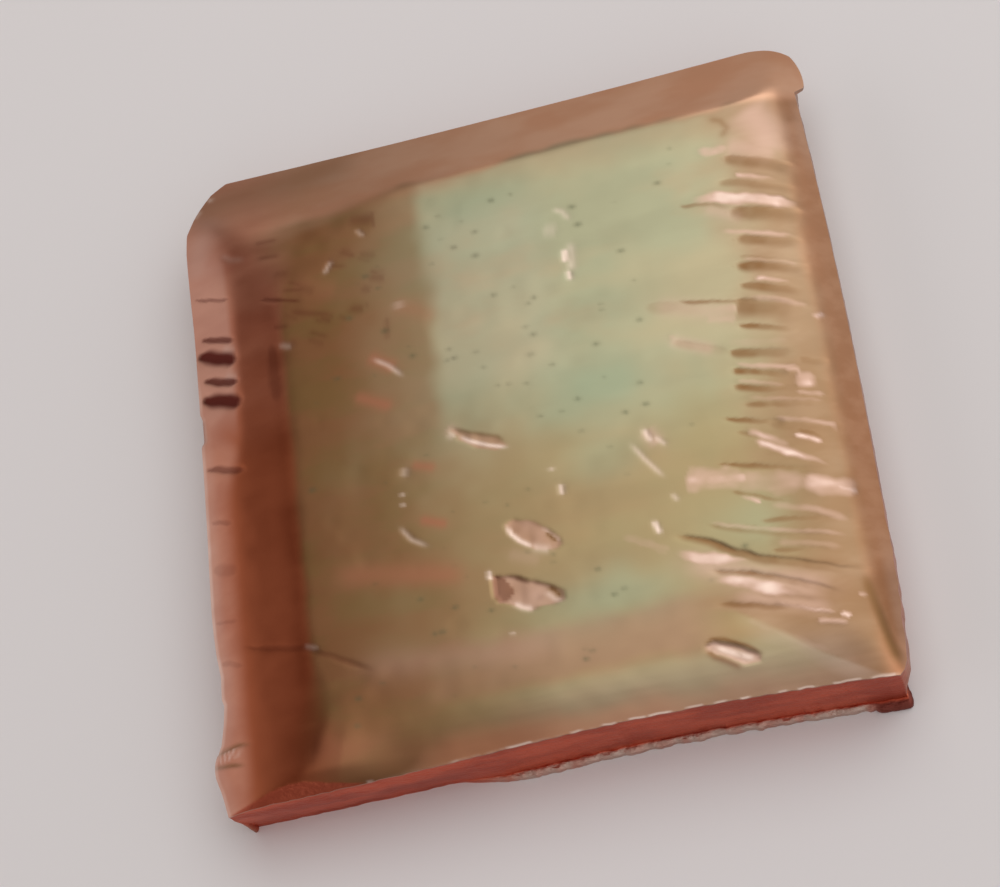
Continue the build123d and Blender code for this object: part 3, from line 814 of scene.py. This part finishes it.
for middle_x, middle_y, size in specks:
    away = np.hypot(x - middle_x, (y - middle_y) * 1.3) + 0.10 * ripple(x, y, 0.45, 47)
    strengthen("speck", min(0.55, 1.5 * size) * bell(away, 0.18 + 0.45 * size))
print(len(specks), "specks")

# %% Flecks of scale
# scattered over the upper left of the face, each a short line that falls to the right
scattered_flecks = 26
fleck_dice = np.random.default_rng(84)
for _ in range(scattered_flecks):
    start_x, start_y = fleck_dice.uniform(-26, -14), fleck_dice.uniform(12, 25)
    reach, fall = fleck_dice.uniform(0.5, 2.0), fleck_dice.uniform(0.1, 0.7)
    width, strength = fleck_dice.uniform(0.5, 1.2), fleck_dice.uniform(0.12, 0.36)
    add_line("dark_red_and_shade", [(start_x, start_y), (start_x + reach, start_y - fall * reach)], width, strength)
print(scattered_flecks, "flecks")

# %% Pleats of the tip
# two creases cross the tip, painted darker as painted shade, with a comb of fine teeth between them
pleats = [
    [(-38.2, -30.7), (-34.5, -30.7), (-32.3, -31.2)],
    [(-38.3, -32.0), (-35.5, -32.6), (-33.3, -33.3)],
]
for points in pleats:
    share, away = follow(points)
    crease = bell(away, 0.24) * step(share, 1.0, 0.6)
    layers["height"] -= 0.12 * crease
    strengthen("dark", 0.8 * crease)
comb_pitch = 0.62
comb = step(y, -32.1, -31.8) * step(y, -30.7, -31.0) * step(x, -33.5, -35.5)
comb_teeth = comb * (0.5 + 0.5 * np.sin(x * 2 * math.pi / comb_pitch))
layers["height"] += 0.06 * comb_teeth
strengthen("bare", 0.5 * comb_teeth)
print("relief from", round(layers["height"].min(), 2), "to", round(layers["height"].max(), 2), "mm")

# %% [markdown]
# ## Zones of the finish
#
# The film covers the flat face and ends at the shoulders, along borders that wander a little. Within it
# the colour goes from greenish gold at the upper right over khaki to brown on the left, and that brown is
# partly a tint of the film and partly a painted dark reflection. Each zone is a value from 0 to 1 at every
# point of the mesh, which the material reads by its name. Such values keep the borders tied to the shape,
# and need no picture.

# %% Reach of the film
wander = 0.5 * ripple(x, y, 5.0, 51) + 0.25 * ripple(x, y, 1.8, 52)
border_softness = 0.7 + 4.0 * far_left_corner + 3.0 * near_left_corner
past_left = step(x + 0.3 * wander, -25.0 - border_softness, -25.0 + border_softness)
past_far = step(y + wander, 30.7 - 0.6 * far_left_corner, 29.2 - 3 * far_left_corner)
near_shift = 1.6 * step(x, -10.0, -18.0)
past_near = step(y + wander, -37.3 - near_shift, -33.3 - 2.5 * near_shift)
layers["film"] = past_left * past_far * past_near
layers["film"] *= 1 - 0.85 * step(x + 3 * wander, 23.5, 31.5)

# the last crest parts a brown stretch on its far side, partly painted shade, from a light wedge on its near
# side, partly painted light
last_crest = [(14.0, -26.6), (20.0, -28.4), (24.0, -31.2), (28.0, -34.2), (33.0, -37.2)]
crest_away = follow(last_crest)[1]
painted_shade_past_crest = step(crest_away, -0.3, 0.5) * step(x, 15.0, 21.0) * step(y, -24.0, -28.0)
layers["film"] *= 1 - 0.9 * painted_shade_past_crest
painted_light_wedge = step(crest_away, 0.3, -0.3) * step(x, 19.0, 23.0) * step(x, 35.0, 30.0)
painted_light_wedge = painted_light_wedge * step(y, -27.0, -28.5)
strengthen("film", 0.8 * painted_light_wedge * step(y, -37.0, -34.0))
print("film on", round(100 * layers["film"].mean()), "% of the grid's points")

# %% Khaki, teal, tan and brown of the film, the brown partly a painted dark reflection
layers["khaki"] = 0.8 * step(y + 3 * wander, 4.0, -12.0)
strengthen("khaki", step(y + wander, -24.5, -27.0))
layers["khaki"] *= 1 - 0.40 * step(y + 0.5 * wander, -30.3, -32.5) * step(x, -19.0, -6.0)
# teal patches: middle, half sizes along X and Y, strength
teal_patches = [
    ((10, 0), (9, 4), 0.7), ((7.5, -23.8), (7, 3.0), 0.55), ((0, 24), (6, 5), 0.6), ((13, 9), (6, 4), 0.4),
    ((-4, 1), (4, 5), 0.3), ((25, -19), (5, 3), 0.3), ((9, -9), (4, 3), 0.3),
]
for (middle_x, middle_y), (half_x, half_y), strength in teal_patches:
    reach = np.hypot((x - middle_x) / half_x, (y - middle_y) / half_y) + 0.25 * ripple(x, y, 3.0, 71)
    strengthen("teal", strength * bell(reach, 1.0))
layers["tan"] = step(y + wander, -24.5, -27.0) * step(y + wander, -32.6, -30.4) * step(x, 22.0, 14.0)
strengthen("tan", 0.35 * step(y + wander, 25.5, 29.0) * step(x, -6.0, 0.0))
# the brown on the left is partly a tint of the film and partly a painted dark reflection
upper_left = 0.40 * step(x + 3 * wander, -20.5, -8.0) + 0.60 * step(x + 2 * wander, -9.3, -6.3)
lower_left = step(x + 6 * wander, -26.0, 8.0)
layers["brown"] = 1 - (upper_left + (lower_left - upper_left) * step(y, 7.0, -6.0))

# %% Colours of the shoulders
layers["far"] = step(y + 0.4 * wander + 0.9 * step(x, -4.0, -16.0), 29.2, 30.6)
layers["dull"] = step(x, 25.0, -35.0)
layers["rim"] = step(x + 0.6 * wander, 32.7, 35.1) * step(y, 32.0, 28.0)
near_colour_ends = step(x, -20.0, -12.0) * (1 - 0.7 * step(x, 4.0, 22.0))
layers["near"] = step(y + 0.5 * wander, -33.6, -36.0) * near_colour_ends
layers["left"] = (1 - past_left) * (1 - 0.3 * step(y, 26.0, 34.0))
strengthen("left", step(x, -20.0, -22.5) * step(y, 28.0, 24.0))
# the inner facet is painted a darker colour, partly as a painted dark reflection, and it reaches further out
# at one place
wider = bell(y - 6.5, 2.5)
layers["inner"] = step(left_inset, knee - 0.9 - 4.2 * wider, knee + 0.9 + 0.7 * lower - 3.0 * wider)
layers["inner"] *= step(y, 26.0, 10.0)
layers["inner"] *= 1 - 0.35 * step(y, 0.0, 10.0)

# %% Thin tints, painted highlights and painted shade
strengthen("dark", 0.28 * step(x + 2 * wander, 24.0, 28.5) * step(x, 36.0, 33.0) * step(y, 1.0, -6.0))
# painted shade past the last crest
strengthen("dark", 0.42 * painted_shade_past_crest * step(x, 22.0, 27.0) * step(y, -36.5, -33.0))
lamp_edge_highlight = step(x, -8.5, -6.0) * step(x, 9.0, 3.0) * step(y, 0.0, 6.0) * step(y, 28.0, 22.0)
right_rim_ends = step(y, -20.0, -28.0) + step(y, 18.0, 25.0) * step(y, 31.0, 28.0)
# a painted highlight on the middle of the face, next to the edge of the lamp's reflection
strengthen("bare", 0.07 * lamp_edge_highlight)
# a painted highlight on the outer left facet
strengthen("bare", 0.2 * step(y, 3.0, 9.0) * step(y, 30.0, 24.0) * step(left_inset, 5.5, 4.5))
# a painted highlight along the near roll
strengthen("bare", 0.12 * step(y, -31.0, -34.0) * step(x, -8.0, 6.0) * step(x, 34.0, 28.0))
# a painted highlight just below the last crest
strengthen("bare", (0.13 + 0.15 * step(x, 24.0, 30.0)) * painted_light_wedge * step(crest_away, -3.2, -0.4))
strengthen("bare", 0.12 * step(x, 34.8, 36.0) * right_rim_ends)

# %% [markdown]
# ## Rubbed rims
#
# A film wears off first where the metal is sharp, so bright metal shows along the rims: in short stretches
# on the near one, and in a band on the left one. The same marks carry a painted highlight of the sharp rims
# as well. The outline says how far each point lies from its rim, so that these marks follow the rim however
# it wavers.

# %% Rubbed near rim, with a painted highlight
near_rim = y - along_side(near_side, columns, 0)[None, :, 1]
# stretches of the rim that show rubbed metal with a painted highlight: start, end, strength
glinting_rub_stretches = [
    (-20.6, -20.0, 0.7), (-11.5, -10.5, 0.5), (-5.4, -2.7, 1.0), (1.4, 2.5, 0.8), (4.6, 6.1, 0.8),
    (7.4, 9.3, 0.9), (9.5, 11.8, 1.0), (13.4, 15.1, 0.8), (16.3, 17.5, 0.8), (18.9, 19.9, 0.9),
    (22.7, 23.7, 0.7), (24.7, 26.4, 0.8), (28.2, 31.0, 0.7), (32.0, 34.4, 0.6),
]
rub_and_glint = 0.14 * step(x, -22.0, -8.0) * (1 + ripple(x, 0 * x, 0.5, 61))
for first, last, strength in glinting_rub_stretches:
    rub_and_glint = np.maximum(rub_and_glint, strength * step(x, first - 0.2, first + 0.2) * step(x, last + 0.2, last - 0.2))
rubbed_and_glinting = rub_and_glint * step(near_rim, 0.30, 0.08)
# at its left end the red of the cut side reaches over the rim
cut_reach = 1.4 * bell(x + 28.5, 5.0)
layers["cut"] = 0.75 * step(near_rim, cut_reach + 0.12, cut_reach - 0.12) * step(cut_reach, 0.08, 0.25)
strengthen("tooth", 0.5 * layers["cut"])
print(len(glinting_rub_stretches), "rubbed stretches")

# %% Rubbed left rim, with a painted highlight
left_rim = x - along_side(left_side, rows, 1)[:, None, 0]
left_rub_and_glint = (0.55 + 0.35 * bell(y + 14, 12)) * step(y, 22.0, 8.0) * (0.8 + 0.2 * ripple(y, x, 1.5, 63))
rubbed_and_glinting = np.maximum(rubbed_and_glinting, step(left_rim, 0.75, 0.15) * left_rub_and_glint)
rubbed_and_glinting = np.maximum(rubbed_and_glinting, 0.35 * step(left_rim, 2.4, 0.3) * left_rub_and_glint)
strengthen("bare", rubbed_and_glinting)

# %% Height of the top
# slow waves of the rolled face, and finer ones across the outer left facet
wave = 0.020 * ripple(x, y, 6.0, 1) + 0.008 * ripple(x, y, 1.8, 2)
wave += 0.035 * ripple(0.15 * x, y, 2.0, 75) * step(left_inset, 6.5, 4.5) * step(y, 8.0, 0.0)
z = np.minimum(shoulder_height + layers["height"] + wave, top)
print("top from", round(z.min(), 2), "to", round(z.max(), 2), "mm")

# %% [markdown]
# ## The sides
#
# The near side shows how the slab was cut. Under the sharp rim lies a plumb land that the blade cut, then
# a zone that tore and leans in, and at the foot a crumbly burr stands out, with a rounder tooth at its
# right end. The right side leans in as well. A side is made by repeating the rim of the grid downwards,
# row by row, with an inset for each row. Under the thin lip of the far right corner the rows are first
# moved in to the round corner of the body, since a plain inset would fold there.

# %% Rim of the grid
row_count, column_count = x.shape
index = np.arange(row_count * column_count).reshape(row_count, column_count)
rim_index = np.concatenate([index[0, :-1], index[:-1, -1], index[-1, :0:-1], index[:0:-1, 0]])
rim = np.stack([x.ravel()[rim_index], y.ravel()[rim_index], z.ravel()[rim_index]], 1)
rim_count = len(rim)
rim_x, rim_y, rim_z = rim.T

# the lip's rim stands out from the circle of the body's round corner, and lip_over says by how much
corner_middle = (half_width - 1.95, half_length - 1.95)
centre_x, centre_y, body_radius = circle_through(right_end, corner_middle, round_end)
from_centre = rim[:, :2] - (centre_x, centre_y)
centre_distance = np.linalg.norm(from_centre, axis=1)
at_corner = (rim_y > right_end[1]) * (rim_x > round_end[0])
lip_over = np.clip(centre_distance - body_radius, 0, None) * at_corner
tuck = from_centre / centre_distance[:, None] * lip_over[:, None]
body_rim = rim[:, :2] - tuck
print("rim of", rim_count, "points, lip out by", round(lip_over.max(), 2), "mm")

# %% Outward directions
smooth_span = 3
ahead = np.roll(body_rim, -smooth_span, 0) - np.roll(body_rim, smooth_span, 0)
outward = np.stack([ahead[:, 1], -ahead[:, 0]], 1)
outward /= np.linalg.norm(outward, axis=1)[:, None]
facing_near = np.clip(-outward[:, 1], 0, 1) ** 2
facing_right = np.clip(outward[:, 0], 0, 1) ** 2
facing_side = np.clip(np.abs(outward[:, 0]), 0, 1) ** 2
facing_far = np.clip(outward[:, 1], 0, 1) ** 2
around = np.concatenate([[0], np.cumsum(np.linalg.norm(np.diff(rim[:, :2], axis=0), axis=1))])

# %% Sizes of the land, the tear and the burr
near_tear_start = 6.4
near_tear_lean = 0.2 + 0.7 * step(rim_x, -8.0, -14.0)
right_tear_start = 5.2
right_tear_lean = 1.0
land_inset = 0.03
burr_top = 0.9
burr_out = 0.42 + 0.12 * bell(rim_x + 2, 9)
tooth_out = 0.75
# the lip is this thick, and this far below the rim the wall is back on the body's circle
lip_thickness, lip_depth = 0.5, 1.2
burr = facing_near * step(rim_x, -13.5, -4.5) * step(rim_x, 33.5, 30.5)
tooth = facing_near * step(rim_x, 30.2, 31.8) * step(rim_y, 0.0, -20.0)

# %% Rows of the land and the tear
side_rows = []
side_masks = {name: [] for name in mask_names}


def add_side_row(height, inset, **masks):
    """One loop of points round the slab: its height, its inset from the rim and its masks."""
    under_lip = step(rim_z - height, lip_thickness, lip_depth)[:, None]
    side_rows.append(np.column_stack([rim[:, :2] - tuck * under_lip - outward * inset[:, None], height]))
    for name, values in side_masks.items():
        values.append(masks.get(name, np.zeros(rim_count)))


# the rim's bright metal and painted highlight reach onto the top row of the side
rim_bare = layers["bare"].ravel()[rim_index]
# the red of the sheared side is partly torn copper and partly a painted red reflection, strongest on the
# walls that face near and weaker on the others
red_cut = 1 - 0.75 * facing_side * (0.7 + 0.3 * step(rim_y, -25.0, 10.0)) - 0.5 * facing_far
# rows at these shares of the way down from the rim to the burr
for share in (0.015, 0.05, 0.10, 0.15, 0.22, 0.32, 0.43, 0.55, 0.67, 0.79, 0.90, 1.0):
    height = rim_z + (burr_top - rim_z) * share
    near_tear = np.clip((near_tear_start - height) / (near_tear_start - burr_top), 0, 1)
    right_tear = np.clip((right_tear_start - height) / (right_tear_start - burr_top), 0, 1)
    rough = 0.04 * ripple(around, height, 1.2, 21) + 0.02 * ripple(around, height * 0.2, 0.5, 22)
    inset = land_inset + facing_near * near_tear * near_tear_lean
    inset = inset + facing_right * right_tear * right_tear_lean + rough * min(1, share * 8)
    add_side_row(height, inset, cut=red_cut * step(share, 0.0, 0.05), bare=rim_bare * (share < 0.03))
foot_inset = inset
print(len(side_rows), "rows down to the burr")

# %% Rows of the burr and the tooth
crumble = 0.10 * ripple(around, 0 * around, 0.9, 31) + 0.06 * ripple(around, 0 * around, 0.35, 32)
burr_reach = burr * (foot_inset + burr_out + crumble)
tooth_reach = tooth * (foot_inset + tooth_out + 0.5 * crumble)
reach = np.maximum(burr_reach, tooth_reach)
tooth_colour = step(rim_x, 30.2, 31.8) * step(rim_y, -33.0, -35.0)
# each row's level as a share of the burr's height, and its share of the reach
for level, share in ((1.0, 0.30), (0.95, 0.65), (0.75, 0.93), (0.45, 1.0), (0.0, 0.95)):
    bump = 0.14 * ripple(around, 0 * around + 9 * share, 0.55, 33) * (level > 0.3)
    height = level * burr_top * (0.9 + 0.1 * burr) + burr * (1 - tooth) * bump
    white = burr * (1 - tooth) * (share > 0.2) * (0.85 + 0.3 * ripple(around, 0 * around + share, 0.8, 34))
    add_side_row(height, foot_inset - reach * share, cut=red_cut, burr=white, tooth=tooth_colour)
print(len(side_rows), "rows down to the floor")

# %% [markdown]
# ## One closed mesh
#
# The grid gives the top, each row adds a ring of quads under it, and one many-sided face closes the flat
# underside. The faces share their points, so the mesh has no gap. The colour values go along as attributes
# of the points, and edges sharper than a set angle stay crisp while the rest is shaded smooth.

# %% Points and faces
top_points = np.column_stack([x.ravel(), y.ravel(), z.ravel()])
points = np.concatenate([top_points] + side_rows)
points[:, 0] += body_shift
corners = [index[:-1, 1:], index[1:, 1:], index[1:, :-1], index[:-1, :-1]]
faces = np.stack([corner.ravel() for corner in corners], 1).tolist()
upper = rim_index
for number in range(len(side_rows)):
    lower = len(top_points) + number * rim_count + np.arange(rim_count)
    faces += np.stack([upper, lower, np.roll(lower, -1), np.roll(upper, -1)], 1).tolist()
    upper = lower
faces.append(upper[::-1].tolist())
print(len(points), "points,", len(faces), "faces")

# %% Mesh with its colour values
mesh = bpy.data.meshes.new("copper_skin")
mesh.from_pydata((points * MM).tolist(), [], faces)
mesh.update()
for name, side_values in side_masks.items():
    values = np.clip(np.concatenate([layers[name].ravel()] + side_values), 0, 1)
    attribute = mesh.attributes.new(name, "FLOAT", "POINT")
    attribute.data.foreach_set("value", values.astype(np.float32))
print("mesh with", len(side_masks), "colour values")

# %% The piece
crisp_angle = math.radians(50)
mesh.polygons.foreach_set("use_smooth", [True] * len(mesh.polygons))
mesh.set_sharp_from_angle(angle=crisp_angle)
block = bpy.data.objects.new("copper_skin", mesh)
bpy.context.scene.collection.objects.link(block)
print("skin of", sum(len(p.vertices) - 2 for p in mesh.polygons), "triangles")

# %% [markdown]
# ## Raw copper with an oxide film
#
# The metal is plain copper, rolled flat and then cropped by a shear. Its own colour is a warm pink, which
# shows where it was rubbed or torn. A film of oxide a fraction of a micron thick turns the face greenish
# gold to khaki by interference, with teal patches and dark specks, and the drawn shoulders stay brown.
# The sheared side is a darker red, partly torn copper and partly a painted red reflection, and the crumbly
# burr at its foot is pale.
#
# To the eye it is all one metal, which mirrors the lamp softly, and only its tint changes. So one
# metallic material does it, and its colour is laid on in layers, each held back by one of the mesh's
# values. Polished copper has a roughness near 0.1, but a rolled face with its film is duller, about 0.3,
# and torn metal 0.5.

# %% Copper material
copper, tree = new_material("filmed_copper")
coords = add(tree, "ShaderNodeTexCoord").outputs["Object"]


def mask(name):
    """The value that the mesh carries under a name."""
    return add(tree, "ShaderNodeAttribute", {"attribute_name": name}).outputs["Fac"]


def blend(share, first, second):
    """Mixes two colours, given as hex values or sockets."""
    first = linear(first) if isinstance(first, str) else first
    second = linear(second) if isinstance(second, str) else second
    return add(tree, "ShaderNodeMix", {"data_type": "RGBA"}, {0: share, 6: first, 7: second}).outputs[2]


def cloud(size, stretch, detail, low, high):
    """A soft noise of bumps about size millimetres wide, stretched along X, turned to 0 to 1."""
    spread = add(tree, "ShaderNodeMapping", inputs={"Vector": coords, "Scale": (1 / stretch, 1, 1)})
    noise = add(tree, "ShaderNodeTexNoise", inputs={
        "Vector": spread.outputs[0], "Scale": 1 / (size * MM), "Detail": detail})
    return add(tree, "ShaderNodeMapRange", {"interpolation_type": "SMOOTHSTEP"},
               {0: noise.outputs["Fac"], 1: low, 2: high}).outputs[0]


# %% Colours of the film
film_colour = blend(cloud(14, 1.6, 3, 0.40, 0.62), "#aca283", "#a2a285")
film_colour = blend(cloud(7, 2.0, 3, 0.50, 0.75), film_colour, "#ab9d7f")
khaki_colour = blend(cloud(9, 2.5, 3, 0.42, 0.62), "#9c8a63", "#9f8660")
film_colour = blend(mask("khaki"), film_colour, khaki_colour)
film_colour = blend(mask("tan"), film_colour, "#a18469")
film_colour = blend(mask("teal"), film_colour, "#97a68b")
# the brown on the left of the face is partly a tint of the film and partly a painted dark reflection
brown_colour = blend(cloud(4, 2.5, 4, 0.40, 0.66), "#8a6243", "#826440")
film_colour = blend(mask("brown"), film_colour, brown_colour)

# %% Colours of the shoulders and the cut
left_colour = blend(cloud(5, 2.0, 3, 0.35, 0.65), "#c98f76", "#bd8068")
# the inner facet's darker red is partly a painted dark reflection
left_colour = blend(mask("inner"), left_colour, "#ae6545")
colour = blend(cloud(3, 3.0, 3, 0.35, 0.65), "#a98b70", "#9c7c60")
far_colour = blend(mask("dull"), "#e1b395", "#bb957c")
far_stain = blend(mask("dull"), "#d9a382", "#b5886c")
far_colour = blend(cloud(6, 2.0, 3, 0.35, 0.65), far_colour, far_stain)
rim_colour = blend(cloud(2, 2.0, 3, 0.35, 0.65), "#c7906f", "#bc8361")
# the sheared side's red is partly torn copper and partly a painted red reflection
cut_colour = blend(cloud(3, 3.0, 3, 0.35, 0.65), "#cd6347", "#b04e38")

# %% Layers of colour
# from the lowest to the uppermost
colour_layers = [
    ("far", far_colour), ("rim", rim_colour), ("near", "#bf8b69"), ("left", left_colour),
    ("film", film_colour), ("dark", "#7f5d3c"), ("rust", "#ab7258"), ("speck", "#5c6049"),
    ("rosy", "#caa899"), ("bare", "#ebd5c8"), ("dark_red_and_shade", "#5f2a22"), ("cut", cut_colour),
    ("tooth", "#7f443b"), ("burr", "#c9b0a4"),
]
for name, shade in colour_layers:
    colour = blend(mask(name), colour, shade)
print(len(colour_layers), "layers of colour")

# %% Grain and roughness
# the rolls leave a grain along X that is finer than this, so it is drawn coarser, 0.7 mm wide
rolled_grain = cloud(0.7, 12.0, 0, 0.25, 0.75)
# torn metal is broken into grains of about half a millimetre
torn_grain = cloud(0.5, 1.5, 3, 0.30, 0.70)
rolled_height, torn_height = 0.002 * MM, 0.05 * MM
smoothest, dullest, torn_roughness = 0.28, 0.33, 0.50
rolled = add(tree, "ShaderNodeBump", inputs={"Height": rolled_grain, "Distance": rolled_height})
torn = add(tree, "ShaderNodeBump", inputs={
    "Strength": mask("cut"), "Height": torn_grain, "Distance": torn_height, "Normal": rolled.outputs[0]})
smooth_to_dull = add(tree, "ShaderNodeMapRange",
                     inputs={0: cloud(4, 3.0, 3, 0.35, 0.65), 3: smoothest, 4: dullest})
roughness = add(tree, "ShaderNodeMix", {"data_type": "FLOAT"},
                {0: mask("cut"), 2: smooth_to_dull.outputs[0], 3: torn_roughness})
surface = add(tree, "ShaderNodeBsdfPrincipled", inputs={
    "Base Color": colour, "Metallic": 1.0, "Roughness": roughness.outputs[0], "Normal": torn.outputs[0]})
add(tree, "ShaderNodeOutputMaterial", inputs={"Surface": surface.outputs[0]})
mesh.materials.append(copper)
print("material with", len(tree.nodes), "nodes")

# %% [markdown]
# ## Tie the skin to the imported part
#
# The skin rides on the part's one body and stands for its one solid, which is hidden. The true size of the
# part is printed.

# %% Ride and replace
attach(block, "root")
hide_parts("copper_block")
print("true size", [round(v / MM, 2) for v in cad_high - cad_low])
